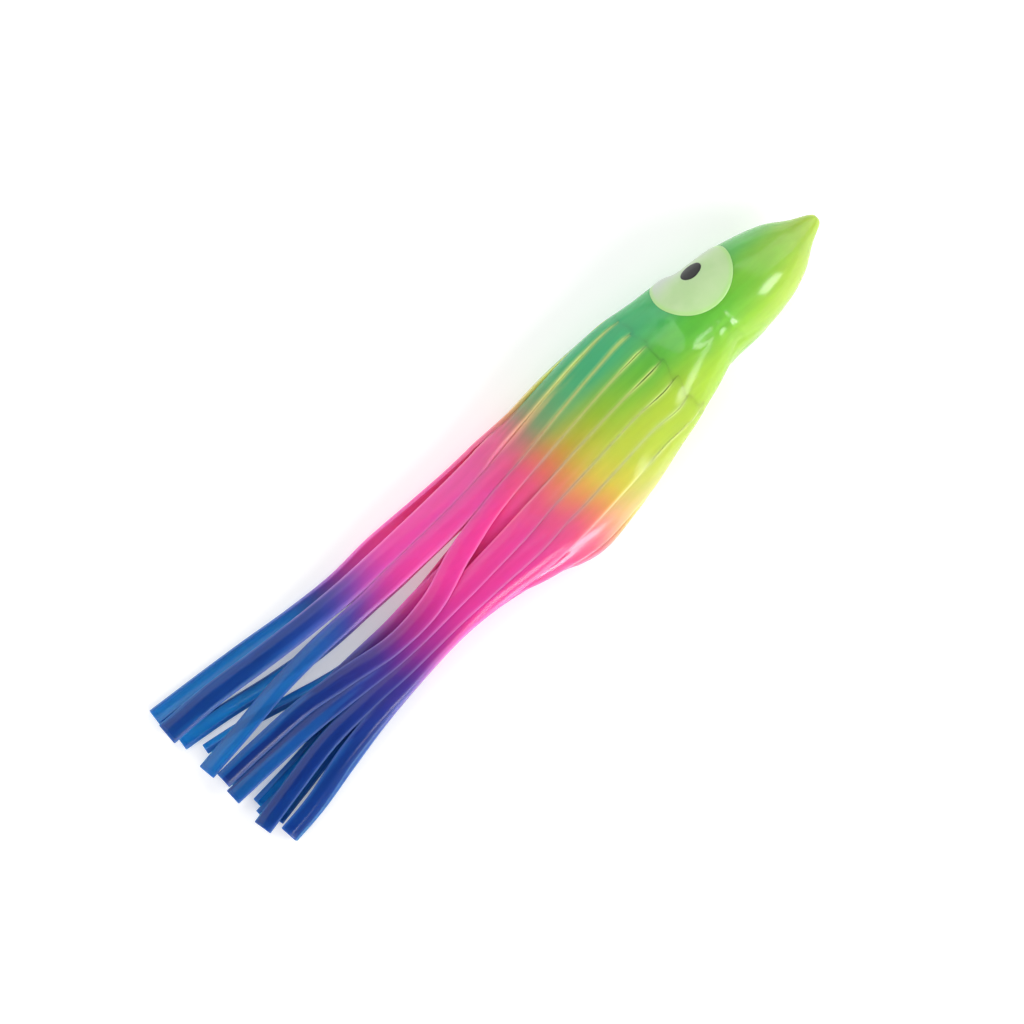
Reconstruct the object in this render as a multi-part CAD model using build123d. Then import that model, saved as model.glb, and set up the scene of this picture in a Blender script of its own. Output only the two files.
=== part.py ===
from build123d import *
import math
import os

# Soft squid-skirt fishing lure, lying on its side on a flat surface.
# Millimetres. +X points from the strap tips to the nose, +Z is up, and the
# surface that it lies on is z = 0. Ends of the straps are near x = -75 and
# the nose is at x = 75.

# ---- driving dimensions -------------------------------------------------
WALL = 1.2            # wall of the hollow head and bell
STRAP_THICK = 1.0     # thickness of a strap
STRAP_WIDE = 3.8      # full width of a strap, measured round its curve
STRAP_GAP = 0.7       # free space between neighbouring straps, seen from above
STRAP_NARROWEST = 1.6 # where the bundle squeezes a strap
SIDE_STRAP_WIDE = 2.3 # widest that the straps on the -Y side get, where they stand on edge
SIDE_STATIONS = 6     # how many stations that holds for
STRAP_BOW = 0.3       # rise of a strap's outer face across its width
NOSE_TIP_R = 0.9      # radius of the blunt nose tip, outside
NOSE_INNER_R = 0.5    # radius of the cavity's tip
NOSE_ROUND_LENGTH = 0.3  # outline points nearer the tip than this are left out
WIDEST_PLACE = 0.9    # share of the bundle's half width that the layers reach

HEAD_Y = 0.6          # centre line of the head
HEAD_Z = 9.4
NECK_X = 49.2         # the groove between head and bell
NECK_R = 7.3
RIM_X = 35.8          # where the slits start and the straps are rooted
RIM_Y = 0.9           # centre of the oval rim
RIM_Z = 7.5
RIM_HALF_Y = 12.0     # outer half sizes of the oval rim
RIM_HALF_Z = 7.1

EYE_X = 50.9          # centre of both eyes along the body
EYE_RADIUS = 8.1      # outline of an eye patch
EYE_OFFSET = 2.0      # centre of the patch's dome, out from the head's centre line
EYE_DOME = (13.3, 7.4, 8.2)     # half sizes of the dome: along X, round the head, outward
EYE_INNER = 4.8       # how far out from the head's centre line a patch begins
EYE_ANGLES = {"upper_eye": 35.0, "lower_eye": 240.0}    # directions from +Y towards +Z
PUPIL_RADIUS = 2.2
PUPIL_THICK = 0.6
PUPIL_PROUD = 0.15

# Head outline: distance along X and radius, from the nose back to the neck.
HEAD_OUTLINE = [(74.3, 1.35), (71.3, 2.85), (66.3, 5.95), (61.3, 7.65), (56.3, 8.3), (52.0, 8.0)]
NOSE_X = 75.0

# Bell sections between neck and rim: x, centre y, centre z, half y, half z.
BELL_SECTIONS = [
    (NECK_X, HEAD_Y, HEAD_Z, NECK_R, NECK_R),
    (46.3, 0.7, 9.0, 8.6, 8.2),
    (41.3, 1.1, 8.2, 10.8, 8.0),
    (RIM_X, RIM_Y, RIM_Z, RIM_HALF_Y, RIM_HALF_Z),
]

# ---- the bundle of straps -----------------------------------------------
# Stations along the bundle: x, centre y, half y, centre z, half z and how
# square the section is (2 is an ellipse). Half sizes are to mid-thickness.
BUNDLE = [
    (RIM_X, 0.9, 11.5, 7.5, 6.6, 2.0),
    (26.0, 0.8, 12.6, 6.9, 6.1, 2.0),
    (16.0, -1.0, 14.2, 6.3, 5.5, 2.0),
    (6.0, -1.9, 14.1, 5.6, 4.8, 2.2),
    (-4.0, -0.8, 12.2, 4.9, 4.1, 2.6),
    (-14.0, 0.8, 11.4, 4.4, 3.5, 3.0),
    (-24.0, 1.5, 11.4, 3.9, 3.0, 4.0),
    (-34.0, 0.7, 12.4, 3.4, 2.55, 5.0),
    (-44.0, 0.8, 12.9, 2.95, 2.15, 6.0),
    (-54.0, 0.3, 14.6, 2.55, 1.8, 8.0),
    (-64.0, 0.0, 16.0, 2.3, 1.55, 8.0),
    (-74.0, -0.3, 17.2, 2.2, 1.45, 8.0),
]

# Centre line of each strap: y at each station, in order across the bundle
# from +Y to -Y. The last number is the x of the cut tip.
UPPER_STRAPS = {
    "upper_strap_1": ([11.9, 12.3, 11.7, 10.7, 9.6, 9.3, 9.2, 9.3, 9.9, 10.9, 12.0, 12.4], -75.0),
    "upper_strap_2": ([9.1, 8.8, 7.7, 6.3, 5.6, 5.2, 5.2, 5.1, 5.3, 4.9, 3.7, 2.5], -74.4),
    "upper_strap_3": ([5.8, 5.4, 4.3, 3.2, 1.9, -0.3, -2.6, -2.9, -1.6, -0.8, -0.8, -0.8], -73.2),
    "upper_strap_4": ([2.1, 1.8, 1.1, 0.1, -0.6, -1.0, -1.2, -1.2, -1.2, -1.4, -1.6, -1.6], -71.5),
    "upper_strap_5": ([-1.7, -2.1, -2.6, -3.2, -4.1, -4.8, -5.2, -5.6, -4.8, -4.0, -3.8, -3.8], -74.0),
    "upper_strap_6": ([-5.4, -5.8, -6.8, -7.5, -7.7, -7.6, -7.5, -8.1, -8.0, -8.3, -9.9, -11.8], -73.8),
    "upper_strap_7": ([-8.8, -9.4, -10.2, -10.9, -10.7, -10.0, -9.3, -10.3, -11.2, -12.7, -15.0, -16.2], -71.2),
    "upper_strap_8": ([-11.1, -12.4, -13.6, -14.2, -12.4, -9.4, -8.2, -8.6, -9.2, -9.2, -10.4, -12.0], -71.0),
}
LOWER_STRAPS = {
    "lower_strap_1": ([12.6, 13.2, 13.0, 12.0, 11.3, 11.7, 12.0, 12.0, 12.8, 14.1, 15.2, 16.2], -74.5),
    "lower_strap_2": ([10.4, 10.9, 11.0, 10.0, 9.0, 8.9, 8.9, 9.2, 10.2, 11.0, 11.9, 12.9], -74.2),
    "lower_strap_3": ([7.3, 7.3, 7.0, 6.2, 5.6, 5.6, 5.4, 5.0, 5.3, 6.5, 8.2, 9.6], -74.0),
    "lower_strap_4": ([3.5, 3.3, 3.0, 2.4, 1.9, 0.6, -0.8, -1.3, -0.5, 1.9, 4.4, 6.2], -71.7),
    "lower_strap_5": ([-0.3, -0.6, -1.2, -1.8, -1.9, -1.8, -2.6, -3.6, -3.6, -2.8, -2.0, -1.6], -72.4),
    "lower_strap_6": ([-4.2, -4.7, -5.8, -6.6, -5.8, -4.9, -4.8, -6.0, -6.3, -6.2, -6.4, -6.7], -71.4),
    "lower_strap_7": ([-7.4, -8.5, -10.3, -11.3, -9.4, -7.6, -7.2, -8.4, -8.8, -9.0, -9.2, -9.5], -72.5),
    "lower_strap_8": ([-10.3, -12.2, -14.9, -15.7, -12.2, -10.0, -9.2, -10.2, -11.4, -13.2, -15.2, -16.2], -71.0),
}
# How far a strap that runs under others lies below the upper layer.
LEVEL = [0, 0, 0, 0, 0, 0, 0, 0, 0, 0, 0, 0]
DROP = {
    "upper_strap_4": [0, 0, 0, 0.2, 1.5, 2.6, 2.8, 2.4, 2.0, 1.8, 1.5, 1.45],
    "upper_strap_8": [0, 0, 0, 0, 0, 2.25, 2.5, 2.25, 2.0, 1.8, 1.5, 1.45],
}
# Heights of the straps at the sides of the bell, where they stand on edge,
# for the first stations. After those they follow the layers.
SIDE_HEIGHTS = {
    "upper_strap_1": [9.6, 9.4, 8.6, 7.9],
    "upper_strap_8": [8.3, 8.0, 7.6, 6.9, 5.8],
    "lower_strap_8": [4.5, 4.0, 3.3, 2.6, 2.1],
    "lower_strap_1": [6.1, 5.6, 4.8, 3.8],
}
ALL_STRAPS = {**UPPER_STRAPS, **LOWER_STRAPS}
SIDE_STRAPS = ("upper_strap_8", "lower_strap_8")
LAYERS_APART = 1.3    # straps this far apart, square to their faces, pass over each other
SAME_LAYER_TURN = math.radians(80)


def head_outline(inset):
    """Half profile of the head above its centre line, closed along that line."""
    nose = NOSE_X - inset
    tip_r = NOSE_TIP_R if inset == 0 else NOSE_INNER_R
    points = [(nose, tip_r)]
    for x, r in HEAD_OUTLINE:
        if x < nose - NOSE_ROUND_LENGTH and r > inset + tip_r:
            points.append((x, r - inset))
    points.append((NECK_X, NECK_R - inset))
    curve = Spline(points, tangents=[(-0.2, 1), (-0.6, -1)])
    closing = Polyline([(NECK_X, NECK_R - inset), (NECK_X, 0), (nose, 0), (nose, tip_r)])
    return make_face(curve + closing)


def head_solid(inset):
    """Head from nose to neck, turned about its own centre line."""
    turned = revolve(head_outline(inset), axis=Axis.X)
    return Pos(0, HEAD_Y, HEAD_Z) * turned


def bell_solid(inset):
    """Bell from the round neck to the oval rim."""
    rings = []
    for x, y, z, half_y, half_z in BELL_SECTIONS:
        station = Plane(origin=(x, y, z), x_dir=(0, 1, 0), z_dir=(1, 0, 0))
        rings.append(station * Ellipse(half_y - inset, half_z - inset))
    return loft(rings)


def eye_dome(angle):
    """Domed round patch that stands out of the head, before the head is cut away."""
    around = Pos(EYE_X, HEAD_Y, HEAD_Z) * Rot(X=angle - 90.0)
    dome = around * Pos(0, 0, EYE_OFFSET) * scale(Sphere(1.0), by=EYE_DOME)
    outline = around * Pos(0, 0, EYE_INNER) * extrude(Circle(EYE_RADIUS), EYE_DOME[2])
    return dome & outline


def pupil(angle):
    """Dark disc let into the middle of an eye patch, a little proud of it."""
    apex = EYE_OFFSET + EYE_DOME[2]
    around = Pos(EYE_X, HEAD_Y, HEAD_Z) * Rot(X=angle - 90.0)
    return around * Pos(0, 0, apex + PUPIL_PROUD - PUPIL_THICK) * extrude(Circle(PUPIL_RADIUS), PUPIL_THICK)


def place_in_layer(row, y, side):
    """Height of a strap on the bundle's outside at this y, and its lean.

    The lean is the angle of the strap's outer face from +Z towards +Y.
    """
    x, mid_y, half_y, mid_z, half_z, squareness = row
    across = max(-WIDEST_PLACE, min(WIDEST_PLACE, (y - mid_y) / half_y))
    rise = (1 - abs(across) ** squareness) ** (1 / squareness)
    out_y = math.copysign(abs(across) ** (squareness - 1), across) / half_y
    out_z = side * rise ** (squareness - 1) / half_z
    return mid_z + side * half_z * rise, math.degrees(math.atan2(out_y, out_z))


def place_on_edge(row, y, z):
    """Lean of a strap that stands on edge at the side of the bundle."""
    x, mid_y, half_y, mid_z, half_z, squareness = row
    return z, math.degrees(math.atan2((y - mid_y) / half_y ** 2, (z - mid_z) / half_z ** 2))


def place(name, index):
    """Centre y and z, and lean, of a strap at a station."""
    side = 1 if name in UPPER_STRAPS else -1
    y = ALL_STRAPS[name][0][index]
    heights = SIDE_HEIGHTS.get(name, [])
    if index < len(heights):
        z, lean = place_on_edge(BUNDLE[index], y, heights[index])
    else:
        z, lean = place_in_layer(BUNDLE[index], y, side)
    return y, z - DROP.get(name, LEVEL)[index], lean


def strap_section(x, y, z, lean, width):
    """Curved cross-section of a strap, square to X and bowed to the outside."""
    half = width / 2
    middle = STRAP_THICK / 2 + STRAP_BOW / 2
    edge = STRAP_THICK / 2 - STRAP_BOW / 2
    outer = ThreePointArc((-half, edge), (0, middle), (half, edge))
    inner = ThreePointArc((half, edge - STRAP_THICK), (0, middle - STRAP_THICK), (-half, edge - STRAP_THICK))
    ends = Line((half, edge), (half, edge - STRAP_THICK)) + Line((-half, edge - STRAP_THICK), (-half, edge))
    face = make_face(outer + inner + ends)
    station = Plane(origin=(x, y, z), x_dir=(0, 1, 0), z_dir=(1, 0, 0))
    return station * Rot(Z=-lean) * face


def free_width(name, index):
    """Width that leaves a gap to the neighbours that lie in the same layer."""
    y, z, lean = place(name, index)
    out_y, out_z = math.sin(math.radians(lean)), math.cos(math.radians(lean))
    reach = STRAP_WIDE
    for other in ALL_STRAPS:
        other_y, other_z, other_lean = place(other, index)
        turn = math.radians(min(abs(other_lean - lean), 360 - abs(other_lean - lean)))
        outward = abs((other_y - y) * out_y + (other_z - z) * out_z)
        along = abs((other_y - y) * out_z - (other_z - z) * out_y)
        round_corner = along * (0.5 + 0.3 * abs(out_y))
        beside = outward < max(LAYERS_APART, round_corner) and turn < SAME_LAYER_TURN
        if other != name and beside:
            apart = math.hypot(outward, along)
            reach = min(reach, apart - STRAP_GAP - STRAP_THICK * math.tan(turn / 2))
    crowded = name in SIDE_STRAPS and index < SIDE_STATIONS
    widest = SIDE_STRAP_WIDE if crowded else STRAP_WIDE
    return max(STRAP_NARROWEST, min(widest, reach))


def strap(name):
    """One strap from the rim to its cut tip."""
    tip_x = ALL_STRAPS[name][1]
    sections = []
    for index, row in enumerate(BUNDLE):
        y, z, lean = place(name, index)
        x = tip_x if index == len(BUNDLE) - 1 else row[0]
        sections.append(strap_section(x, y, z, lean, free_width(name, index)))
    return loft(sections)


def build():
    parts = {}
    outer = head_solid(0) + bell_solid(0)
    cavity = head_solid(WALL) + bell_solid(WALL)
    parts["head_and_bell"] = outer - cavity
    above_ground = Pos(0, 0, NOSE_X) * Box(4 * NOSE_X, 4 * NOSE_X, 2 * NOSE_X)
    for eye, angle in EYE_ANGLES.items():
        disc = pupil(angle)
        parts[eye + "_patch"] = (eye_dome(angle) - outer - disc) & above_ground
        parts[eye + "_pupil"] = disc & above_ground
    for name in ALL_STRAPS:
        parts[name] = strap(name)
    return parts


os.makedirs("parts", exist_ok=True)
for name, part in build().items():
    export_step(part, "parts/" + name + ".step")
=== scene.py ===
import math
import bmesh
import bpy
from mathutils import Matrix, Vector


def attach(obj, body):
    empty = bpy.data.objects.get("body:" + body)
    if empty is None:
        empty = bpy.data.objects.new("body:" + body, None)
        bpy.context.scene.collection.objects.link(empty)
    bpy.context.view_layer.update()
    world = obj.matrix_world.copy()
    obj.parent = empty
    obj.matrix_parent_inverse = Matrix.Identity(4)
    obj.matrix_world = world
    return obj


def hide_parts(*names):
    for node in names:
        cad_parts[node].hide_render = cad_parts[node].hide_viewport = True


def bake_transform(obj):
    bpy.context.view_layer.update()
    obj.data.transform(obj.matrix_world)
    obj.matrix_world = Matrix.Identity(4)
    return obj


# Soft squid-skirt lure: the looks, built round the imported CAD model.
# Shapes below are in millimetres in the CAD's frame and become metres in mesh_from_rings().

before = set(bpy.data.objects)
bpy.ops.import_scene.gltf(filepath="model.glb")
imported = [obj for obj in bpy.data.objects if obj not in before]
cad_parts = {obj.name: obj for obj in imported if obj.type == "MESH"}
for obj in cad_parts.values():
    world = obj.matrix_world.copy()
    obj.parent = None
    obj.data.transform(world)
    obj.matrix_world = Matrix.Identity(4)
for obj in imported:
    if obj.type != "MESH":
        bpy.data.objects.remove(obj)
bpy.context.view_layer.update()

MM = 0.001
NOSE_X = 75.0
LENGTH = 150.0
HALF_WIDTH = 18.0

# ---- the moulding's sections, from the nose back to the rim ----------------
# x, centre y, centre z, half width to -Y, half width to +Y, half height.
SKIN_SECTIONS = [
    (75.00, 0.55, 9.40, 0.10, 0.10, 0.10),
    (74.85, 0.55, 9.40, 0.75, 0.75, 0.75),
    (74.30, 0.55, 9.40, 1.30, 1.30, 1.30),
    (73.20, 0.55, 9.40, 1.85, 1.95, 1.90),
    (71.30, 0.60, 9.40, 2.85, 2.85, 2.85),
    (66.30, 0.60, 9.40, 5.95, 5.95, 5.90),
    (61.30, 0.60, 9.40, 7.60, 7.65, 7.60),
    (56.30, 0.60, 9.40, 8.25, 8.40, 8.25),
    (52.00, 0.60, 9.40, 7.95, 8.90, 8.05),
    (50.30, 0.60, 9.40, 7.70, 9.20, 7.90),
    (49.50, 0.62, 9.38, 7.45, 9.40, 7.72),
    (48.60, 0.64, 9.30, 7.50, 9.80, 7.74),
    (46.30, 0.70, 9.00, 8.40, 10.80, 8.15),
    (41.30, 1.10, 8.20, 10.65, 11.05, 8.00),
    (35.80, 0.90, 7.50, 12.00, 12.00, 7.10),
]
RIM_X = 35.8
WALL = 1.2
SKIN_LOWEST = 0.12        # least height of its outside above the table
SKIN_POINTS = 96          # points round the moulding
NOSE_RINGS = [75.0, 74.97, 74.9, 74.78, 74.6, 74.3, 73.9]   # x of its first rings
NOSE_END = 73.3           # x of the next one
SKIN_STEP = 0.7           # distance between its rings
NECK = (48.0, 52.0)       # between these places they are closer
NECK_STEP = 0.35
# The rolled rim: x from RIM_X, and how far inside the outer surface.
RIM_RINGS = [(0.2, 0.0), (-0.1, 0.004), (-0.4, 0.012), (-0.7, 0.026), (-1.0, 0.045),
             (-1.3, 0.08), (-1.5, 0.20), (-1.6, 0.50), (-1.6, 0.85), (-1.2, WALL)]
INSIDE_START = 1.0        # from RIM_X to the first ring inside
INSIDE_STEP = 1.4
INSIDE_END = 73.0

# ---- eyes ---------------------------------------------------------------------
HEAD_Y, HEAD_Z = 0.6, 9.4
EYES = {"upper_eye": 39.0, "lower_eye": 240.0}   # directions in degrees, from +Y to +Z
DOME_X = 49.8             # middle of the bulge that carries an eye
DOME = (15.5, 7.3, 8.0)   # its half sizes: along X, round the head, outward
DOME_OFFSET = 2.0         # distance from the head's axis to its middle
DOME_SIDE = (0.1, 0.4)    # it fades out before it passes to the other side of the head
EYE_BLEND = 1.5           # how softly the bulge runs into the head
BULGE_START = 38.0        # x where the bulge starts
BULGE_FADE = 4.0          # and the stretch over which it grows
SEARCH_TURN = 25.0        # degrees to each side in which surface_radius() searches
SEARCH_STEPS = 24
# The pale disc and the pupil. long is half the length along X, and turn is half the width, as a turn
# round the head. A profile gives the share of the radius, and the height above the moulding.
DISC = {
    "x": 50.0, "long": 8.1, "turn": math.radians(52.0), "smallest": 0.004, "lowest": 0.02, "points": 72,
    "profile": [(0.0, 0.14), (0.25, 0.14), (0.5, 0.14), (0.72, 0.14), (0.88, 0.14), (0.955, 0.135),
                (0.985, 0.105), (1.0, 0.03), (0.998, -0.15), (0.97, -0.45), (0.6, -0.5), (0.3, -0.5)],
}
PUPIL = {
    "x": 50.6, "long": 2.2, "turn": 0.19, "smallest": 0.01, "lowest": 0.01, "points": 48,
    "profile": [(0.0, 0.26), (0.4, 0.255), (0.75, 0.245), (0.92, 0.225), (0.98, 0.19), (1.0, 0.12),
                (0.99, -0.1), (0.6, -0.2)],
}
DISC_RIM = (0.86, 0.12)   # share of the radius where the disc's rim colour starts, and its blend
DISC_SHADE = (0.15, 0.9)  # the same for its greyer side

# ---- straps ---------------------------------------------------------------------
# Stations of the bundle: x, centre y, half y, centre z, half z, squareness.
BUNDLE = [
    (35.8, 0.9, 11.5, 7.5, 6.6, 2.0),
    (26.0, 0.8, 12.6, 6.9, 6.1, 2.0),
    (16.0, -1.0, 14.2, 6.3, 5.5, 2.0),
    (6.0, -1.9, 14.1, 5.6, 4.8, 2.2),
    (-4.0, -0.8, 12.2, 4.9, 4.1, 2.6),
    (-14.0, 0.8, 11.4, 4.4, 3.5, 3.0),
    (-24.0, 1.5, 11.4, 3.9, 3.0, 4.0),
    (-34.0, 0.7, 12.4, 3.4, 2.55, 5.0),
    (-44.0, 0.8, 12.9, 2.95, 2.15, 6.0),
    (-54.0, 0.3, 14.6, 2.55, 1.8, 8.0),
    (-64.0, 0.0, 16.0, 2.3, 1.55, 8.0),
    (-74.0, -0.3, 17.2, 2.2, 1.45, 8.0),
]
# y of each strap's centre line at those stations, and the x of its cut tip.
UPPER = {
    "upper_strap_1": ([11.9, 12.3, 11.7, 10.7, 9.6, 9.3, 9.2, 9.3, 9.9, 10.9, 12.0, 12.4], -75.0),
    "upper_strap_2": ([9.1, 8.8, 7.7, 6.3, 5.6, 5.2, 5.2, 5.1, 5.3, 4.9, 3.7, 2.5], -74.4),
    "upper_strap_3": ([5.8, 5.4, 4.3, 3.2, 1.9, 0.0, -3.2, -3.8, -2.2, -1.0, -0.8, -0.8], -73.2),
    "upper_strap_4": ([2.1, 1.8, 1.1, 0.1, -0.6, -1.0, -1.2, -1.2, -1.2, -1.4, -1.6, -1.6], -71.5),
    "upper_strap_5": ([-1.7, -2.1, -2.6, -3.2, -4.1, -4.8, -5.2, -5.6, -4.8, -4.0, -3.8, -3.8], -74.0),
    "upper_strap_6": ([-5.4, -5.8, -6.8, -7.5, -7.7, -7.6, -7.5, -8.1, -8.0, -8.3, -9.9, -11.8], -73.8),
    "upper_strap_7": (
        [-8.8, -9.4, -10.2, -10.9, -10.7, -10.0, -9.3, -10.3, -11.2, -12.7, -15.0, -16.2], -71.2),
    "upper_strap_8": ([-11.1, -12.4, -13.6, -14.2, -12.4, -9.4, -8.2, -8.6, -9.2, -9.2, -10.4, -12.0], -71.0),
}
LOWER = {
    "lower_strap_1": ([12.6, 13.2, 13.0, 12.0, 11.3, 11.7, 12.0, 12.0, 12.8, 14.1, 15.2, 16.2], -74.5),
    "lower_strap_2": ([10.4, 10.9, 11.0, 10.0, 9.0, 8.9, 8.9, 9.2, 10.2, 11.0, 11.9, 12.9], -74.2),
    "lower_strap_3": ([7.3, 7.3, 7.0, 6.2, 5.6, 5.6, 5.4, 5.0, 5.2, 6.5, 8.4, 9.8], -74.0),
    "lower_strap_4": ([3.5, 3.3, 3.0, 2.4, 1.9, 0.6, -0.8, -1.3, -0.5, 1.9, 4.4, 6.2], -71.7),
    "lower_strap_5": ([-0.3, -0.6, -1.2, -1.8, -1.9, -1.8, -2.6, -3.6, -3.6, -2.8, -2.0, -1.6], -72.4),
    "lower_strap_6": ([-4.2, -4.7, -5.8, -6.6, -5.8, -4.9, -4.8, -6.0, -6.4, -6.6, -7.3, -7.9], -71.4),
    "lower_strap_7": ([-7.4, -8.5, -10.3, -11.3, -9.4, -7.6, -7.2, -8.2, -8.8, -9.0, -9.2, -9.3], -72.5),
    "lower_strap_8": (
        [-10.3, -12.2, -14.9, -15.7, -12.2, -10.0, -9.2, -10.2, -11.4, -13.2, -15.2, -16.2], -71.0),
}
STRAPS = {**UPPER, **LOWER}
LEVEL = [0] * len(BUNDLE)
# How far a strap lies below its layer, where others cover it.
DROP = {
    "upper_strap_4": [0, 0, 0, 0.2, 1.2, 1.9, 2.0, 1.8, 1.6, 1.6, 1.5, 1.45],
    "upper_strap_8": [0, 0, 0, 0, 0, 2.25, 2.5, 2.25, 2.0, 1.8, 1.5, 1.45],
}
# Height and lean in degrees of the straps at the sides, where they stand on edge.
SIDES = {
    "upper_strap_1": [(9.6, 62), (9.4, 58), (8.6, 56), (7.9, 50)],
    "upper_strap_8": [(8.3, -79), (8.2, -60), (8.3, -40), (7.2, -40), (5.8, -34)],
    "lower_strap_8": [(4.5, -129), (4.0, -124), (3.5, -119), (2.9, -122), (2.1, -138)],
    "lower_strap_1": [(6.1, 102), (5.6, 102), (4.8, 104), (3.8, 112)],
}
# Turn of each strap about its own line at those stations, in degrees: its +Y edge goes down.
TWIST = {
    "upper_strap_2": [0, 0, 0, 0, 0, 0, 0, 0, 4, 8, 12, 14],
    "upper_strap_3": [0, 0, 0, 0, 0, 4, 8, 6, 2, -2, -6, -8],
    "upper_strap_4": [0, 0, 0, 0, 0, 0, 0, 0, 4, 8, 12, 14],
    "upper_strap_5": [0, 0, 0, 0, 5, 10, 12, 9, 6, 4, 4, 4],
    "upper_strap_6": [0, 0, 0, 0, 6, 12, 14, 12, 8, 4, 4, 4],
    "upper_strap_7": [0, 0, 0, 0, 5, 10, 12, 8, 0, -8, -14, -16],
    "lower_strap_1": [0, 0, 0, 0, 0, 0, 4, 8, 10, 10, 10, 10],
    "lower_strap_3": [0, 0, 0, 0, 0, 0, 0, 4, 8, 10, 10, 10],
    "lower_strap_4": [0, 0, 0, 0, 0, 0, 0, 8, 20, 34, 44, 50],
    "lower_strap_6": [0, 0, 0, 0, 0, 0, 0, -8, -20, -34, -44, -50],
    "lower_strap_7": [0, 0, 0, 0, 0, 0, 0, -8, -18, -28, -38, -46],
}
# Painted light: how much lighter a strap is painted towards its tip, as if light came through its thin vinyl
# where it lies in shade.
PAINTED_TIP_LIGHT = {"lower_strap_1": 0.7, "lower_strap_2": 0.6, "lower_strap_3": 0.9, "lower_strap_4": 1.0,
        "lower_strap_5": 0.7, "lower_strap_6": 1.0, "lower_strap_7": 0.9, "upper_strap_2": 0.25}
PAINTED_TIP_LIGHT_START, PAINTED_TIP_LIGHT_BLEND = -34.0, 12.0
# How far a strap lies above its layer, where it crosses others.
LIFT = {"upper_strap_3": [0, 0, 0, 0, 0.05, 0.3, 0.45, 0.4, 0.3, 0.2, 0.1, 0.1]}
# These overlap like shingles between these stations.
SHINGLES = ("upper_strap_3", "upper_strap_5", "upper_strap_6", "upper_strap_7")
SHINGLE_STATIONS = (4, 8)
THICK = 0.95
CUT_WIDTH = [5.2, 5.2, 5.2, 5.0, 4.4, 4.0, 4.0, 4.0, 4.0, 4.0, 4.0, 4.0]   # widest cut at the stations
# Straps that look narrower near their tips, from this station on.
TAIL_STATION = 7
TAIL_WIDTH = {
    "upper_strap_2": 3.2, "upper_strap_3": 3.4, "upper_strap_4": 2.8, "upper_strap_5": 3.4,
    "upper_strap_6": 3.2, "upper_strap_7": 3.2, "lower_strap_1": 3.2, "lower_strap_2": 3.2,
    "lower_strap_3": 2.9, "lower_strap_4": 2.3, "lower_strap_5": 2.4, "lower_strap_6": 2.6,
    "lower_strap_7": 2.2, "lower_strap_8": 3.0,
}
SLIT = [-0.06, -0.06, -0.05, -0.04, 0.0, 0.04, 0.08, 0.1, 0.2, 0.3, 0.3, 0.3]   # gap to a neighbour
LEAST_HALF = 0.7          # least half width of a strap
BOW = [1.0] * 4 + [1.02] * 3 + [1.055] * 5   # a strap's width round its arc, over its width across
# Neighbours in one layer: height apart, the same as a share of the distance, and lean apart.
SAME_LAYER, SAME_SLOPE, SAME_LEAN = 1.3, 0.62, 80
OUTERMOST = 0.9           # share of the bundle's half width that a strap's line may reach
ROOT_X = 39.0             # the straps' roots run this far up inside the moulding's wall
ROOT_STATIONS = (33.8, 34.8, 35.8, 37.0, 38.2, 39.4, 40.6)   # x, where their line is the moulding's
SINK = 0.32               # how deep a root goes under the moulding's outside
SINK_START, SINK_BLEND = 0.6, 4.0
BELL_START, BELL_BLEND = 2.0, 12.0   # the straps take on the bundle's roundness over this stretch
LEAST_BOW = 1.01          # a strap with less is taken as flat
FLAT_HALF = 0.10          # half the angle of its arc
MOST_HALF = 0.7           # and most in the bell
EDGE_ROUND = 0.1
ROOT_ROUND = 0.25         # share of that rounding near the root
ROUND_START, ROUND_BLEND = 6.0, 16.0
CORNER = 0.29             # share of the rounding by which it cuts back a corner's middle
ACROSS = [-1, -0.93, -0.84, -0.6, -0.3, 0, 0.3, 0.6, 0.84, 0.93, 1]   # points on a strap's outside
STRAP_STEP = 1.0
TIP_CLEAR = 0.8
# Distance from the tip of a strap's last rings, and their size.
TIP_RINGS = [(0.35, 1.0), (0.12, 1.0), (0.03, 0.955), (0.0, 0.86)]
FLOOR_GAP = 0.05          # least height of a strap above the table
# For the materials: what counts as covered, for the painted see-through light where a strap lies alone, and
# how edges and tips take the painted highlight of a cut edge.
LEAST_COVER = 1.2         # least width that a strap covers, where it stands on edge
COVER_BLEND = 0.7
MOST_LAYERS = 3.0
SLIT_START, SLIT_BLEND = 0.2, 2.6    # from RIM_X
TIP_START, TIP_BLEND = 1.0, 0.9      # from the tip
TIP_CUT_HIGHLIGHT = 0.6


# ---- curves ------------------------------------------------------------------------
def slopes(xs, ys):
    """Tangents that give a smooth curve with no overshoot."""
    steps = [(ys[i + 1] - ys[i]) / (xs[i + 1] - xs[i]) for i in range(len(xs) - 1)]
    out = [steps[0]]
    for a, b in zip(steps, steps[1:]):
        out.append(0.0 if a * b <= 0 else 2 * a * b / (a + b))
    return out + [steps[-1]]


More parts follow.
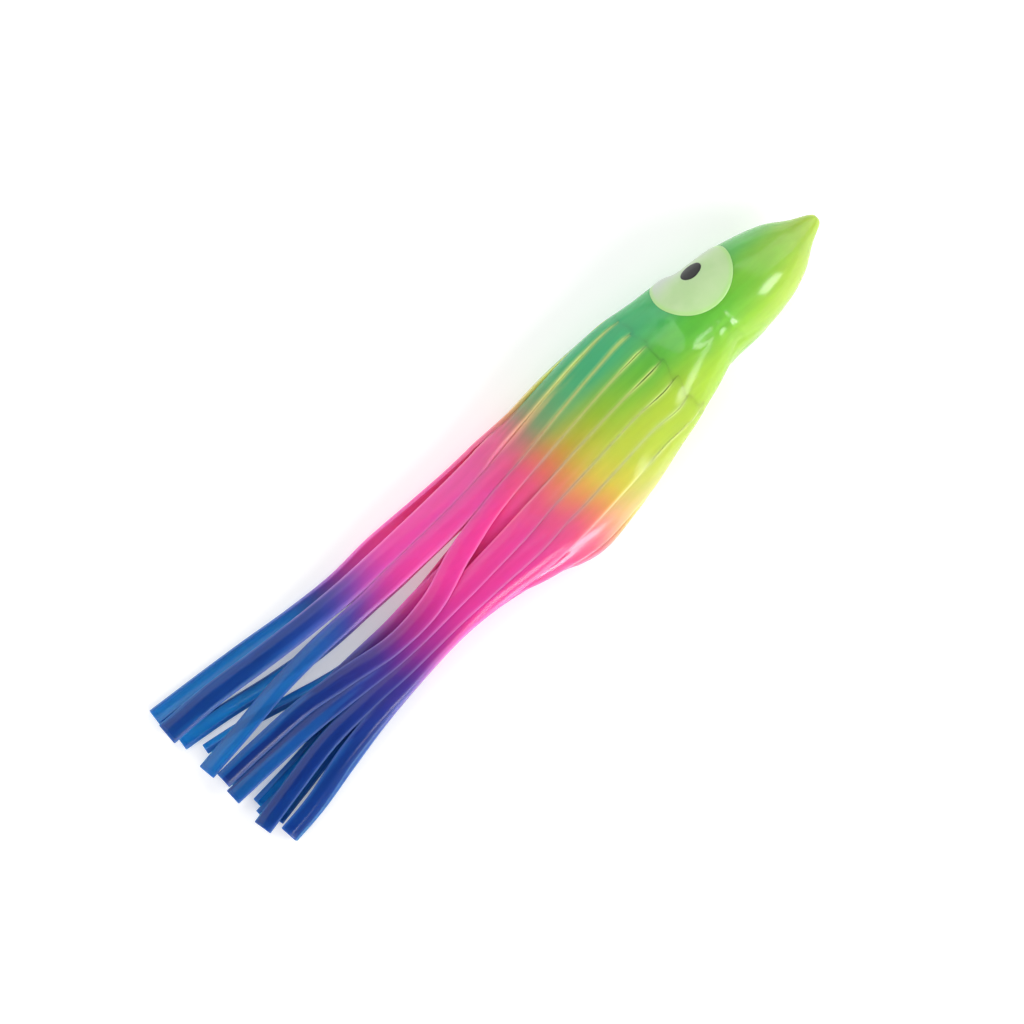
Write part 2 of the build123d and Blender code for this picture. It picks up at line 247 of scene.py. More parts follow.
def curve(xs, ys, gentle=False):
    """A function of x through the points. gentle lets it swing a little past them."""
    pairs = sorted(zip(xs, ys))
    xs, ys = [p[0] for p in pairs], [p[1] for p in pairs]
    if gentle:
        tangents = []
        for i in range(len(xs)):
            a, b = max(i - 1, 0), min(i + 1, len(xs) - 1)
            before = (ys[i] - ys[a]) / (xs[i] - xs[a]) if i > a else None
            after = (ys[b] - ys[i]) / (xs[b] - xs[i]) if b > i else None
            if before is None or after is None:
                tangents.append(after if before is None else before)
            else:
                left, right = xs[i] - xs[a], xs[b] - xs[i]
                tangents.append((before * right + after * left) / (left + right))
    else:
        tangents = slopes(xs, ys)

    def at(x):
        if x <= xs[0]:
            return ys[0] + tangents[0] * (x - xs[0])
        if x >= xs[-1]:
            return ys[-1] + tangents[-1] * (x - xs[-1])
        i = max(k for k in range(len(xs) - 1) if xs[k] <= x)
        h = xs[i + 1] - xs[i]
        t = (x - xs[i]) / h
        return ((2 * t**3 - 3 * t**2 + 1) * ys[i] + (t**3 - 2 * t**2 + t) * h * tangents[i]
                + (3 * t**2 - 2 * t**3) * ys[i + 1] + (t**3 - t**2) * h * tangents[i + 1])
    return at


def smooth_max(a, b, blend):
    h = max(blend - abs(a - b), 0.0) / blend
    return max(a, b) + h * h * blend / 4


def ease(t):
    t = min(max(t, 0.0), 1.0)
    return t * t * (3 - 2 * t)


# ---- meshes ------------------------------------------------------------------------
def mesh_from_rings(name, rings, facts):
    """Closed tube of quads through rings of (x, y, z) points in mm.

    facts gives one dict per point with the shares that the materials read.
    """
    count = len(rings[0])
    verts = [tuple(c * MM for c in p) for ring in rings for p in ring]
    faces = []
    for r in range(len(rings) - 1):
        for k in range(count):
            a, b = r * count + k, r * count + (k + 1) % count
            faces.append((a, b, b + count, a + count))
    faces.append(tuple(reversed(range(count))))
    last = (len(rings) - 1) * count
    faces.append(tuple(range(last, last + count)))
    return make_piece(name, verts, faces, [f for ring in facts for f in ring])


def make_piece(name, verts, faces, facts):
    mesh = bpy.data.meshes.new(name)
    mesh.from_pydata(verts, [], faces)
    for key in facts[0]:
        layer = mesh.attributes.new(key, "FLOAT", "POINT")
        layer.data.foreach_set("value", [f[key] for f in facts])
    mesh.validate()
    bm = bmesh.new()
    bm.from_mesh(mesh)
    bmesh.ops.recalc_face_normals(bm, faces=bm.faces)
    bm.to_mesh(mesh)
    bm.free()
    mesh.shade_smooth()
    obj = bpy.data.objects.new(name, mesh)
    bpy.context.scene.collection.objects.link(obj)
    return obj


def fact(x, y, edge):
    """Shares for the materials: place along and across the lure, and nearness to a cut edge."""
    return {"along": (NOSE_X - x) / LENGTH, "across": y / HALF_WIDTH, "cut_edge": edge}


# ---- the moulding's surface ---------------------------------------------------------
skin_columns = list(zip(*SKIN_SECTIONS))
skin_at = [curve(skin_columns[0], column) for column in skin_columns[1:]]


def dome_radius(x, angle):
    """Distance from the head's axis to an eye's bulge in this direction, or 0."""
    best = 0.0
    for turn in EYES.values():
        delta = math.radians(angle - turn)
        c, s = math.cos(delta), math.sin(delta)
        u = (x - DOME_X) / DOME[0]
        qa = (s / DOME[1]) ** 2 + (c / DOME[2]) ** 2
        qb = -2 * DOME_OFFSET * c / DOME[2] ** 2
        qc = (DOME_OFFSET / DOME[2]) ** 2 + u * u - 1
        inside = qb * qb - 4 * qa * qc
        if inside > 0 and c > -DOME_SIDE[0]:
            reach = (-qb + math.sqrt(inside)) / (2 * qa)
            best = max(best, reach * ease((c + DOME_SIDE[0]) / DOME_SIDE[1]))
    return best


def skin_point(x, angle, inset=0.0):
    """(y, z) on the moulding's outside at x, in the direction angle from +Y to +Z."""
    cy, cz, minus, plus, high = [f(x) for f in skin_at]
    c, s = math.cos(math.radians(angle)), math.sin(math.radians(angle))
    wide = plus if c > 0 else minus
    y, z = cy + max(wide - inset, 0.05) * c, cz + max(high - inset, 0.05) * s
    if inset == 0.0 and x > BULGE_START:
        dy, dz = y - HEAD_Y, z - HEAD_Z
        r = math.hypot(dy, dz)
        bulge = dome_radius(x, math.degrees(math.atan2(dz, dy)))
        if bulge > 0:
            grown = smooth_max(r, bulge, EYE_BLEND) if r > 0.1 else r
            fade = ease((x - BULGE_START) / BULGE_FADE)
            scale = 1 + (grown / r - 1) * fade
            y, z = HEAD_Y + dy * scale, HEAD_Z + dz * scale
    return y, max(z, SKIN_LOWEST)


def surface_radius(x, angle):
    """Distance from the head's axis to the moulding's outside, in a direction from that axis."""
    low, high = angle - SEARCH_TURN, angle + SEARCH_TURN
    for _ in range(SEARCH_STEPS):
        middle = (low + high) / 2
        y, z = skin_point(x, middle)
        found = math.degrees(math.atan2(z - HEAD_Z, y - HEAD_Y))
        ahead = (found - angle + 180.0) % 360.0 - 180.0
        if ahead > 0:
            high = middle
        else:
            low = middle
    y, z = skin_point(x, (low + high) / 2)
    return math.hypot(y - HEAD_Y, z - HEAD_Z)


def build_skin():
    """Hollow head and bell: outside from nose to rim, round the rim, inside back to the nose."""
    angles = [360.0 * k / SKIN_POINTS for k in range(SKIN_POINTS)]
    places = [(x, 0.0) for x in NOSE_RINGS]
    x = NOSE_END
    while x > RIM_X + 0.3:
        places.append((x, 0.0))
        x -= NECK_STEP if NECK[0] < x < NECK[1] else SKIN_STEP
    places += [(RIM_X + ahead, inset) for ahead, inset in RIM_RINGS]
    x = RIM_X + INSIDE_START
    while x < INSIDE_END:
        places.append((x, WALL))
        x += INSIDE_STEP
    rings = [[(x, *skin_point(x, a, inset)) for a in angles] for x, inset in places]
    facts = [[fact(x, y, 0.0) for x, y, z in ring] for ring in rings]
    return mesh_from_rings("skin_head_and_bell", rings, facts)


# ---- eyes ---------------------------------------------------------------------------------
def build_inlay(name, turn, form):
    """Disc that lies on an eye's bulge, with a rounded rim and its back inside the wall."""
    rings, facts = [], []
    for share, proud in form["profile"]:
        ring, around = [], []
        reach = max(share, form["smallest"])
        for k in range(form["points"]):
            psi = 2 * math.pi * k / form["points"]
            x = form["x"] + form["long"] * reach * math.cos(psi)
            angle = turn + math.degrees(form["turn"] * reach * math.sin(psi))
            r = surface_radius(x, angle) + proud
            a = math.radians(angle)
            z = HEAD_Z + r * math.sin(a)
            ring.append((x, HEAD_Y + r * math.cos(a), max(z, form["lowest"])))
            down = share * math.sin(psi) * (1 if turn > 180.0 else -1)
            around.append({"rim": ease((share - DISC_RIM[0]) / DISC_RIM[1]),
                           "shade": ease((down + DISC_SHADE[0]) / DISC_SHADE[1])})
        rings.append(ring)
        facts.append(around)
    return mesh_from_rings(name, rings, facts)


# ---- straps --------------------------------------------------------------------------------
bundle_half_y = curve([r[0] for r in BUNDLE], [r[2] for r in BUNDLE])
bundle_half_z = curve([r[0] for r in BUNDLE], [r[4] for r in BUNDLE])


def place(name, index):
    """Centre y and z, and lean in degrees, of a strap at a station."""
    _, mid_y, half_y, mid_z, half_z, square = BUNDLE[index]
    y = STRAPS[name][0][index]
    sides = SIDES.get(name, [])
    if index < len(sides):
        return (y,) + sides[index]
    side = 1 if name in UPPER else -1
    share = max(-OUTERMOST, min(OUTERMOST, (y - mid_y) / half_y))
    rise = (1 - abs(share) ** square) ** (1 / square)
    out_y = math.copysign(abs(share) ** (square - 1), share) / half_y
    out_z = side * rise ** (square - 1) / half_z
    z = mid_z + side * half_z * rise - DROP.get(name, LEVEL)[index]
    z += LIFT.get(name, LEVEL)[index]
    return y, z, math.degrees(math.atan2(out_y, out_z)) + TWIST.get(name, LEVEL)[index]


def room(name, index):
    """Free half widths to the -t and +t side of a strap, up to its neighbours in the layer."""
    y, z, lean = place(name, index)
    turn = math.radians(lean)
    ny, nz = math.sin(turn), math.cos(turn)
    ty, tz = nz, -ny
    widest = CUT_WIDTH[index]
    if index >= TAIL_STATION:
        widest = min(widest, TAIL_WIDTH.get(name, widest))
    free = [widest / 2, widest / 2]
    low, high = SHINGLE_STATIONS
    for other in STRAPS:
        shingled = name in SHINGLES and other in SHINGLES and low <= index <= high
        if other == name or shingled:
            continue
        oy, oz, olean = place(other, index)
        swing = abs((olean - lean + 180) % 360 - 180)
        outward = abs((oy - y) * ny + (oz - z) * nz)
        along = (oy - y) * ty + (oz - z) * tz
        if outward < max(SAME_LAYER, abs(along) * SAME_SLOPE) and swing < SAME_LEAN:
            half = math.hypot(along, outward) / 2 - SLIT[index] / 2
            k = 1 if along > 0 else 0
            free[k] = min(free[k], max(half, LEAST_HALF))
    return free


def half_angle(share):
    """Half the angle of an arc whose chord is this share of its length."""
    low, high = 0.01, 2.4
    for _ in range(30):
        middle = (low + high) / 2
        if math.sin(middle) / middle > share:
            low = middle
        else:
            high = middle
    return low


def strap_curves(name):
    """Functions of x for a strap's y, z, lean, shift across, chord and arc."""
    rows = []
    for index in range(len(BUNDLE)):
        y, z, lean = place(name, index)
        left, right = room(name, index)
        chord = left + right
        rows.append([y, z, lean, (right - left) / 2, chord, chord * BOW[index]])
    # The roots run up the moulding, at the same share round it.
    _, mid_y, half_y, mid_z, half_z, _ = BUNDLE[0]
    first = rows.pop(0)
    xs = [row[0] for row in BUNDLE[1:]]
    around = math.atan2((first[1] - mid_z) / half_z, (first[0] - mid_y) / half_y)
    for root_x in ROOT_STATIONS:
        cy, cz, minus, plus, high = [f(root_x) for f in skin_at]
        wide = plus if math.cos(around) > 0 else minus
        y = cy + wide * math.cos(around)
        z = cz + high * math.sin(around)
        lean = math.atan2(math.cos(around) / wide, math.sin(around) / high)
        y, z = y - THICK / 2 * math.sin(lean), z - THICK / 2 * math.cos(lean)
        lean = first[2] + ((math.degrees(lean) - first[2] + 180) % 360 - 180)
        rows.insert(0, [y, z, lean, first[3], first[4], first[5]])
        xs.insert(0, root_x)
    for i in range(1, len(rows)):
        while rows[i][2] - rows[i - 1][2] > 180:
            rows[i][2] -= 360
        while rows[i][2] - rows[i - 1][2] < -180:
            rows[i][2] += 360
    columns = list(zip(*rows))
    return [curve(xs, column, gentle=True) for column in columns[:2]] + [
        curve(xs, column) for column in columns[2:]]


CURVES = {name: strap_curves(name) for name in STRAPS}


def layers_at(name, x, y):
    """How many other straps lie over or under this point, softly counted."""
    total = 0.0
    for other in STRAPS:
        if other == name:
            continue
        f = CURVES[other]
        lean = math.radians(f[2](x))
        half = max(f[4](x) * abs(math.cos(lean)), LEAST_COVER) / 2
        total += ease((half + COVER_BLEND / 2 - abs(f[0](x) - y)) / COVER_BLEND)
    return total


def edge_share(share):
    """How near a point across a strap is to its cut edges, from 0 to 1."""
    return 1.0 if abs(share) > 0.9 else 0.35 if abs(share) > 0.8 else 0.0


def section(f, x):
    """Ring of points round a strap at x, each with its nearness to a cut edge."""
    y, z, lean, shift, chord, arc = [g(x) for g in f]
    d = 0.05
    tangent = Vector((-2 * d, f[0](x - d) - f[0](x + d), f[1](x - d) - f[1](x + d))).normalized()
    turn = math.radians(lean)
    turn_y, turn_z = math.sin(turn), math.cos(turn)
    out = Vector((0, turn_y, turn_z))
    out = (out - tangent * out.dot(tangent)).normalized()
    across = out.cross(tangent).normalized()
    if across.y * turn_z - across.z * turn_y < 0:
        across = -across
    half = half_angle(chord / arc) if arc > chord * LEAST_BOW else FLAT_HALF
    bell = ease((x - BELL_START) / BELL_BLEND)
    if bell > 0:
        # Radius of the bundle's oval where its outside faces this way.
        width, height = bundle_half_y(x), bundle_half_z(x)
        bottom = (width * turn_y) ** 2 + (height * turn_z) ** 2
        radius = (width * height) ** 2 / bottom ** 1.5
        half = (1 - bell) * half + bell * min(arc / (2 * radius), MOST_HALF)
    radius = arc / (2 * half)
    centre = Vector((x, y, z)) + across * shift
    sink = SINK * ease((x - RIM_X + SINK_START) / SINK_BLEND)
    rounding = EDGE_ROUND * (ROOT_ROUND + (1 - ROOT_ROUND) * ease((ROUND_START - x) / ROUND_BLEND))
    ends = rounding / radius
    top = THICK / 2

    def at(angle, level):
        reach = radius + (level - sink)
        return centre + across * (reach * math.sin(angle)) + out * (reach * math.cos(angle) - radius)

    edge = [(half - ends * CORNER, top - rounding * CORNER), (half, top - rounding),
            (half, -top + rounding), (half - ends * CORNER, -top + rounding * CORNER)]
    points = [(at((half - ends) * share, top), edge_share(share)) for share in ACROSS]
    points += [(at(angle, level), 1.0) for angle, level in edge]
    points += [(at((half - ends) * share, -top), edge_share(share)) for share in reversed(ACROSS[::2])]
    points += [(at(-angle, level), 1.0) for angle, level in reversed(edge)]
    return points


def build_strap(name):
    f = CURVES[name]
    tip_x = STRAPS[name][1]
    places = []
    x = ROOT_X
    while x > tip_x + TIP_CLEAR:
        places.append((x, 1.0))
        x -= STRAP_STEP
    places += [(tip_x + before, size) for before, size in TIP_RINGS]
    rings, facts = [], []
    for x, size in places:
        ring, shares = [], []
        points = section(f, x)
        lowest = min(p.z for p, _ in points)
        if lowest < FLOOR_GAP:
            points = [(p + Vector((0, 0, FLOOR_GAP - lowest)), edge) for p, edge in points]
        centre = sum((p for p, _ in points), Vector()) / len(points)
        end = ease((tip_x + TIP_START - x) / TIP_BLEND) * TIP_CUT_HIGHLIGHT
        slit = ease((RIM_X + SLIT_START - x) / SLIT_BLEND)
        for p, edge in points:
            q = centre + (p - centre) * size
            ring.append(tuple(q))
            # Shares for painted light: nearness to a cut edge or the tip for the painted highlight, the count
            # of other straps for the painted see-through light, and the painted light towards the tip.
            row = fact(x, q.y, max(edge * slit, end))
            row["layers"] = min(layers_at(name, x, q.y) / MOST_LAYERS, 1.0)
            row["painted_tip_light"] = PAINTED_TIP_LIGHT.get(name, 0.0) * ease((PAINTED_TIP_LIGHT_START - x) / PAINTED_TIP_LIGHT_BLEND)
            shares.append(row)
        rings.append(ring)
        facts.append(shares)
    return mesh_from_rings(name + "_soft", rings, facts)


# ---- materials --------------------------------------------------------------------------------
def srgb(r, g, b):
    """Linear colour of an 8-bit one."""
    out = []
    for c in (r, g, b):
        c = c / 255.0
        out.append(c / 12.92 if c <= 0.04045 else ((c + 0.055) / 1.055) ** 2.4)
    return tuple(out) + (1.0,)


class Nodes:
    """Small helper that adds shader nodes and links them."""

    def __init__(self, name):
        self.material = bpy.data.materials.new(name)
        self.material.use_nodes = True
        self.tree = self.material.node_tree
        self.tree.nodes.clear()
        self.output = self.add("ShaderNodeOutputMaterial")
        self.shader = self.add("ShaderNodeBsdfPrincipled")
        self.tree.links.new(self.shader.outputs[0], self.output.inputs["Surface"])

    def add(self, kind, **settings):
        node = self.tree.nodes.new(kind)
        for key, value in settings.items():
            setattr(node, key, value)
        return node

    def link(self, a, b):
        self.tree.links.new(a, b)

    def attribute(self, name):
        return self.add("ShaderNodeAttribute", attribute_name=name).outputs["Fac"]

    def math(self, operation, a, b):
        node = self.add("ShaderNodeMath", operation=operation)
        for socket, value in zip(node.inputs, (a, b)):
            if isinstance(value, (int, float)):
                socket.default_value = value
            else:
                self.link(value, socket)
        return node.outputs[0]

    def swing(self, value, reach):
        """The value's distance from a half, times reach."""
        return self.math("MULTIPLY", self.math("SUBTRACT", value, 0.5), reach)

    def span(self, value, low, high, to_low=0.0, to_high=1.0):
        node = self.add("ShaderNodeMapRange", interpolation_type="SMOOTHSTEP")
        self.link(value, node.inputs["Value"])
        for key, number in (("From Min", low), ("From Max", high), ("To Min", to_low), ("To Max", to_high)):
            node.inputs[key].default_value = number
        return node.outputs["Result"]

    def ramp(self, value, stops):
        """Colours by x in mm, read at a place along the lure."""
        node = self.add("ShaderNodeValToRGB")
        node.color_ramp.interpolation = "B_SPLINE"
        elements = node.color_ramp.elements
        while len(elements) < len(stops):
            elements.new(0.5)
        for element, (x, colour) in zip(elements, stops):
            element.position = (NOSE_X - x) / LENGTH
            element.color = srgb(*colour)
        self.link(value, node.inputs["Fac"])
        return node.outputs["Color"]

    def mix(self, factor, a, b, blend_type="MIX"):
        node = self.add("ShaderNodeMix", data_type="RGBA", blend_type=blend_type)
        for key, value in (("Factor", factor), ("A", a), ("B", b)):
            socket = [s for s in node.inputs if s.name == key and s.enabled][0]
            if isinstance(value, (int, float, tuple)):
                socket.default_value = value
            else:
                self.link(value, socket)
        return [s for s in node.outputs if s.enabled][0]

    def noise(self, vector, scale, detail=2.0):
        node = self.add("ShaderNodeTexNoise", noise_dimensions="3D")
        node.inputs["Scale"].default_value = scale
        node.inputs["Detail"].default_value = detail
        self.link(vector, node.inputs["Vector"])
        return node.outputs["Fac"]

    def drawn_noise(self, vector, share, scale, detail=2.0):
        """Noise drawn out along the lure: a smaller share makes longer streaks."""
        node = self.add("ShaderNodeMapping")
        self.link(vector, node.inputs["Vector"])
        node.inputs["Scale"].default_value = (share, 1.0, 1.0)
        return self.noise(node.outputs[0], scale, detail)

    def bump(self, height, strength, distance):
        node = self.add("ShaderNodeBump")
        node.inputs["Strength"].default_value = strength
        node.inputs["Distance"].default_value = distance
        self.link(height, node.inputs["Height"])
        self.link(node.outputs[0], self.shader.inputs["Normal"])

    def subsurface(self, weight, radius, scale):
        self.shader.inputs["Subsurface Weight"].default_value = weight
        self.shader.inputs["Subsurface Radius"].default_value = radius
        self.shader.inputs["Subsurface Scale"].default_value = scale


# Colours down the lure, x in mm, for its +Y side, its middle and its -Y side.
GREEN_SIDE = [
    (75, (150, 200, 92)), (70, (112, 192, 96)), (61, (108, 194, 104)), (50, (80, 182, 96)),
    (40, (70, 182, 112)), (28, (54, 174, 118)), (18, (62, 168, 108)), (12, (100, 150, 98)),
    (8, (176, 118, 112)), (4, (240, 84, 140)), (-4, (248, 84, 164)), (-22, (244, 76, 170)),
    (-30, (160, 72, 168)), (-35, (82, 72, 162)), (-40, (28, 64, 150)), (-50, (14, 58, 136)),
    (-74, (12, 58, 136)),
]
MIDDLE = [
    (75, (180, 208, 80)), (70, (158, 201, 80)), (61, (144, 201, 74)), (50, (104, 190, 64)),
    (40, (96, 188, 74)), (30, (118, 190, 72)), (21, (160, 194, 62)), (14, (188, 182, 64)),
    (10.5, (212, 152, 74)), (7, (242, 116, 100)), (3.5, (252, 88, 134)), (-4, (252, 72, 154)),
    (-18, (244, 68, 162)), (-24, (216, 54, 146)), (-31, (146, 46, 138)), (-38, (40, 50, 136)),
    (-52, (9, 46, 122)), (-74, (9, 44, 120)),
]
LIME_SIDE = [
    (75, (188, 212, 78)), (70, (188, 214, 82)), (61, (182, 212, 78)), (50, (152, 207, 60)),
    (40, (170, 210, 66)), (30, (184, 210, 74)), (20, (198, 213, 78)), (14, (222, 202, 80)),
    (10.5, (240, 168, 86)), (7, (250, 128, 110)), (3, (252, 90, 140)), (-4, (252, 72, 154)),
    (-20, (244, 64, 158)), (-30, (158, 48, 144)), (-38, (42, 56, 146)), (-52, (10, 52, 132)),
    (-74, (10, 50, 128)),
]
# The same, painted lighter: where a strap lies alone (painted light seen through its thin vinyl), on cut
# edges (a painted highlight along the cut), and on the outermost strap of the -Y side (painted light seen
# through its thin vinyl).
ALONE_SEE_THROUGH_LIGHT = [
    (40, (190, 226, 120)), (20, (206, 222, 120)), (11, (250, 190, 140)), (4, (254, 104, 166)),
    (-22, (252, 104, 186)), (-31, (190, 104, 192)), (-39, (52, 98, 186)), (-55, (22, 100, 174)),
    (-74, (22, 110, 182)),
]
CUT_EDGE_HIGHLIGHT = [
    (40, (214, 246, 128)), (26, (222, 244, 128)), (17, (236, 236, 130)), (11, (252, 206, 140)),
    (4, (255, 112, 156)), (-10, (254, 90, 168)), (-24, (250, 104, 186)), (-31, (180, 96, 188)),
    (-39, (48, 86, 172)), (-55, (20, 72, 154)), (-74, (22, 78, 160)),
]
OUTERMOST_SEE_THROUGH_LIGHT = [
    (40, (186, 214, 96)), (30, (208, 220, 140)), (18, (222, 216, 150)), (10, (246, 176, 150)),
    (4, (250, 110, 160)), (-74, (10, 50, 128)),
]
# Painted light: the colour of a strap's tip lit through its thin vinyl.
PAINTED_TIP_LIGHT_COLOUR = (34, 146, 216)


def vinyl(name, is_strap):
    n = Nodes(name)
    s = n.shader
    along, across = n.attribute("along"), n.attribute("across")
    place_now = n.add("ShaderNodeTexCoord").outputs["Object"]
    cloud = n.drawn_noise(place_now, 0.35, 110.0)
    streak = n.drawn_noise(place_now, 0.12, 900.0)
    band = n.drawn_noise(place_now, 0.08, 420.0, 1.0)
    # The borders between the colours wander a little.
    lane = n.math("ADD", n.math("ADD", along, n.swing(cloud, 0.05)), n.swing(streak, 0.008))
    side = n.math("ADD", across, n.swing(cloud, 0.25))
    colour = n.mix(n.span(side, 0.05, 0.42), n.ramp(lane, MIDDLE), n.ramp(lane, GREEN_SIDE))
    colour = n.mix(n.span(side, 0.02, -0.40), colour, n.ramp(lane, LIME_SIDE))
    # Painted light: the outermost strap of the -Y side is paler, as if lit through its thin vinyl.
    outermost_see_through_light = n.math("MULTIPLY", n.span(side, -0.62, -0.86), 0.7)
    outermost_see_through_light = n.math("MULTIPLY", outermost_see_through_light, n.span(along, 0.50, 0.44))
    colour = n.mix(outermost_see_through_light, colour, n.ramp(lane, OUTERMOST_SEE_THROUGH_LIGHT))
    if is_strap:
        # Painted light: lighter where a strap lies alone, as if lit through its thin vinyl from the table;
        # darker where straps overlap.
        alone_see_through_light = n.span(n.attribute("layers"), 0.42, 0.04)
        alone_see_through_light = n.math("MULTIPLY", alone_see_through_light, n.span(along, 0.33, 0.42))
        colour = n.mix(n.math("MULTIPLY", alone_see_through_light, 0.6), colour, n.ramp(lane, ALONE_SEE_THROUGH_LIGHT))
        # Painted light: lighter towards the tips, as if lit through the thin vinyl where the strap lies in
        # shade.
        colour = n.mix(n.attribute("painted_tip_light"), colour, srgb(*PAINTED_TIP_LIGHT_COLOUR))
        # Painted highlight: a bright line along the cut edges and at the tips.
        colour = n.mix(n.math("MULTIPLY", n.attribute("cut_edge"), 0.8), colour, n.ramp(lane, CUT_EDGE_HIGHLIGHT))
    # Long bands and fine streaks, lighter and darker, stronger towards the tips.
    tone = n.math("ADD", 1.0, n.swing(band, n.span(along, 0.60, 0.78, 0.06, 0.34)))
    tone = n.math("MULTIPLY", tone, n.span(streak, 0.25, 0.75, 0.96, 1.03))
    grey = n.add("ShaderNodeCombineColor")
    for socket in grey.inputs:
        n.link(tone, socket)
    n.link(n.mix(1.0, colour, grey.outputs[0], "MULTIPLY"), s.inputs["Base Color"])
    cut_matt = n.math("MULTIPLY", n.attribute("cut_edge"), 0.3)
    n.link(n.math("ADD", n.span(cloud, 0.3, 0.7, 0.13, 0.2), cut_matt), s.inputs["Roughness"])
    s.inputs["IOR"].default_value = 1.5
    n.subsurface(0.8, (1.0, 0.8, 0.6), 0.003)
    n.bump(streak, 0.12, 0.0002)
    return n.material


def eye_white():
    n = Nodes("eye_disc_vinyl")
    cloud = n.noise(n.add("ShaderNodeTexCoord").outputs["Object"], 160.0, 3.0)
    colour = n.mix(n.span(cloud, 0.35, 0.65), srgb(184, 218, 156), srgb(193, 222, 166))
    colour = n.mix(n.math("MULTIPLY", n.attribute("shade"), 0.9), colour, srgb(196, 200, 200))
    colour = n.mix(n.math("MULTIPLY", n.attribute("rim"), 0.7), colour, srgb(172, 226, 128))
    n.link(colour, n.shader.inputs["Base Color"])
    n.link(n.span(cloud, 0.3, 0.7, 0.28, 0.4), n.shader.inputs["Roughness"])
    n.subsurface(0.3, (1.0, 1.0, 0.7), 0.001)
    n.bump(cloud, 0.1, 0.0001)
    return n.material


def eye_black():
    n = Nodes("eye_pupil_black")
    cloud = n.noise(n.add("ShaderNodeTexCoord").outputs["Object"], 900.0, 3.0)
    colour = n.mix(n.span(cloud, 0.3, 0.7), srgb(20, 20, 21), srgb(30, 30, 30))
    n.link(colour, n.shader.inputs["Base Color"])
    n.link(n.span(cloud, 0.3, 0.7, 0.3, 0.42), n.shader.inputs["Roughness"])
    return n.material


# ---- building ------------------------------------------------------------------------------------
skin_vinyl = vinyl("head_vinyl", False)
strap_vinyl = vinyl("strap_vinyl", True)
disc_vinyl, pupil_black = eye_white(), eye_black()

skin = build_skin()
skin.data.materials.append(skin_vinyl)
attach(skin, "skirt")
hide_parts("head_and_bell")

for eye, turn in EYES.items():
    disc = build_inlay(eye + "_disc", turn, DISC)
    disc.data.materials.append(disc_vinyl)
    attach(disc, "skirt")
    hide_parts(eye + "_patch")
    pupil = build_inlay(eye + "_pupil_soft", turn, PUPIL)
    pupil.data.materials.append(pupil_black)
    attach(pupil, "skirt")
    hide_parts(eye + "_pupil")

for name in STRAPS:
    strap = build_strap(name)
    strap.data.materials.append(strap_vinyl)
    y, z = CURVES[name][0](RIM_X), CURVES[name][1](RIM_X)
    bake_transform(strap)
    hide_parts(name)


# ---- stage, lights and camera ---------------------------------------------------------------------
FLOOR_HALF = 3.0
FLOOR_GLOW = 0.32         # the table is a dim light table
# Name, place in m, size along and across, power in W. Each points at the origin.
LIGHTS = [
    ("key_from_plus_y", (-0.1, 0.85, 0.62), 1.3, 1.3, 4.6),
    ("fill_left", (-0.84, 0.05, 0.62), 0.95, 0.95, 4.5),
    ("fill_right", (0.84, 0.05, 0.62), 0.95, 0.95, 3.8),
    ("soft_box_nose", (0.36, -0.58, 0.45), 0.26, 0.32, 2.3),
    ("soft_box_middle", (-0.12, -0.58, 0.58), 0.22, 0.16, 0.7),
    ("soft_box_tips", (-0.22, -0.73, 0.33), 0.34, 0.14, 2.0),
]
# The tent round the lure: height of the direction, as a sine, and brightness, low and high.
TENT = (("From Min", 0.2), ("From Max", 0.85), ("To Min", 0.5), ("To Max", 0.12))


def build_floor():
    mesh = bpy.data.meshes.new("floor")
    corners = [(-1, -1), (1, -1), (1, 1), (-1, 1)]
    mesh.from_pydata([(x * FLOOR_HALF, y * FLOOR_HALF, 0) for x, y in corners], [], [(0, 1, 2, 3)])
    floor = bpy.data.objects.new("floor", mesh)
    bpy.context.scene.collection.objects.link(floor)
    n = Nodes("floor_white")
    cloud = n.noise(n.add("ShaderNodeTexCoord").outputs["Object"], 3.0, 2.0)
    n.link(n.mix(cloud, srgb(234, 234, 234), srgb(237, 237, 237)), n.shader.inputs["Base Color"])
    n.shader.inputs["Roughness"].default_value = 0.9
    n.shader.inputs["Specular IOR Level"].default_value = 0.1
    n.shader.inputs["Emission Color"].default_value = (1.0, 1.0, 1.0, 1.0)
    n.shader.inputs["Emission Strength"].default_value = FLOOR_GLOW
    mesh.materials.append(n.material)


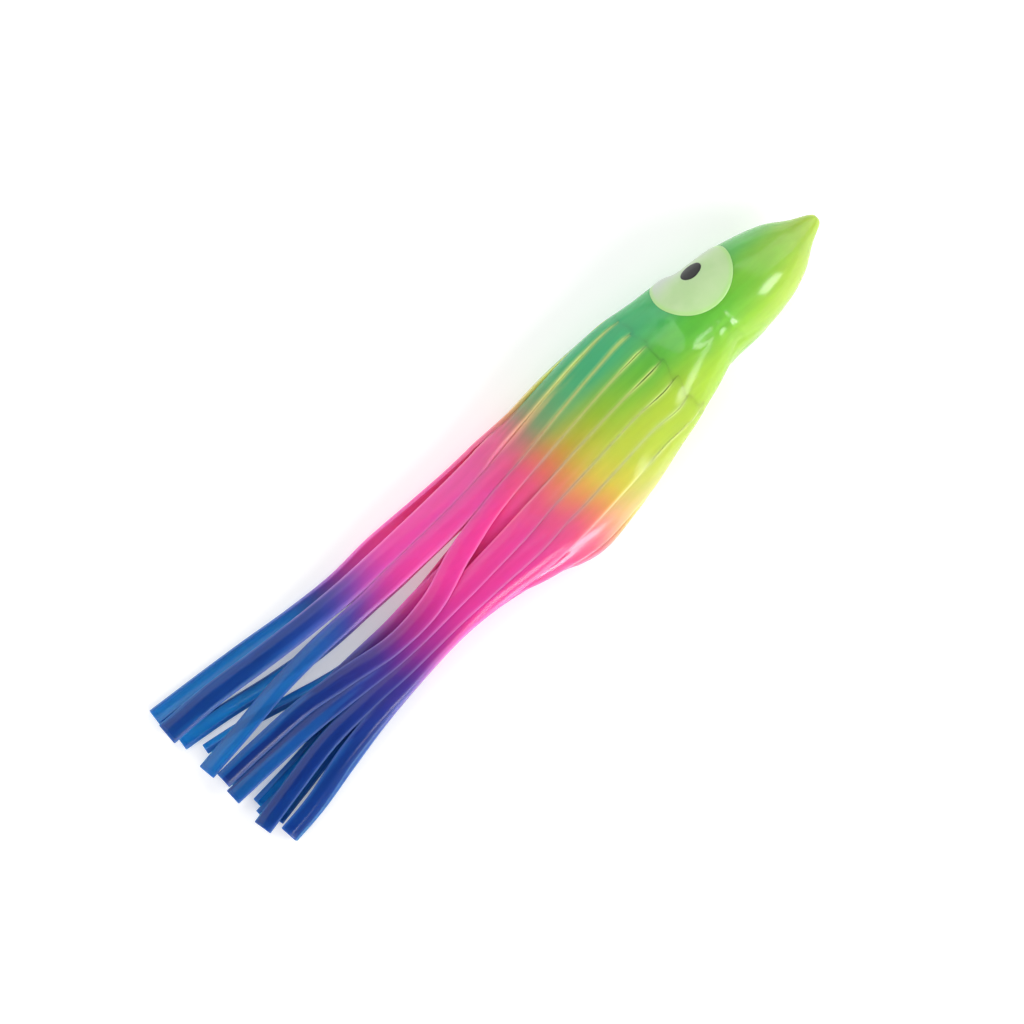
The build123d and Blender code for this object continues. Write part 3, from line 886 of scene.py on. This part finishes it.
def area_light(name, place_at, size, size_y, power):
    data = bpy.data.lights.new(name, "AREA")
    data.energy = power
    data.shape = "RECTANGLE"
    data.size = size
    data.size_y = size_y
    light = bpy.data.objects.new(name, data)
    light.location = place_at
    light.rotation_euler = (-Vector(place_at)).to_track_quat("-Z", "Y").to_euler()
    bpy.context.scene.collection.objects.link(light)


def build_world():
    """Plain white tent, bright near the table and dark overhead."""
    world = bpy.data.worlds.new("studio")
    world.use_nodes = True
    nodes, links = world.node_tree.nodes, world.node_tree.links
    background = nodes["Background"]
    background.inputs["Color"].default_value = (1.0, 1.0, 1.0, 1.0)
    facing = nodes.new("ShaderNodeTexCoord")
    height = nodes.new("ShaderNodeSeparateXYZ")
    fade = nodes.new("ShaderNodeMapRange")
    fade.interpolation_type = "SMOOTHSTEP"
    for key, number in TENT:
        fade.inputs[key].default_value = number
    links.new(facing.outputs["Generated"], height.inputs[0])
    links.new(height.outputs["Z"], fade.inputs["Value"])
    links.new(fade.outputs["Result"], background.inputs["Strength"])
    bpy.context.scene.world = world


build_floor()
for light in LIGHTS:
    area_light(*light)
build_world()

TO_CAMERA = Vector((-0.083, -0.089, 0.9925)).normalized()
IMAGE_RIGHT = Vector((0.731, -0.682, 0.0)).normalized()
LOOKS_AT = Vector((-0.0019, -0.00065, 0.005))
DISTANCE = 1.2
FRAME_WIDTH = 0.1855      # what the picture spans at the lure
SENSOR = 36.0

camera_data = bpy.data.cameras.new("camera")
camera_data.sensor_width = SENSOR
camera_data.lens = SENSOR * DISTANCE / FRAME_WIDTH
camera_data.clip_start = 0.01
camera_data.clip_end = 20.0
camera = bpy.data.objects.new("camera", camera_data)
up = TO_CAMERA.cross(IMAGE_RIGHT)
axes = Matrix((IMAGE_RIGHT, up, TO_CAMERA)).transposed()
camera.matrix_world = Matrix.Translation(LOOKS_AT + TO_CAMERA * DISTANCE) @ axes.to_4x4()
bpy.context.scene.collection.objects.link(camera)
bpy.context.scene.camera = camera
bpy.context.scene.view_settings.view_transform = "Standard"
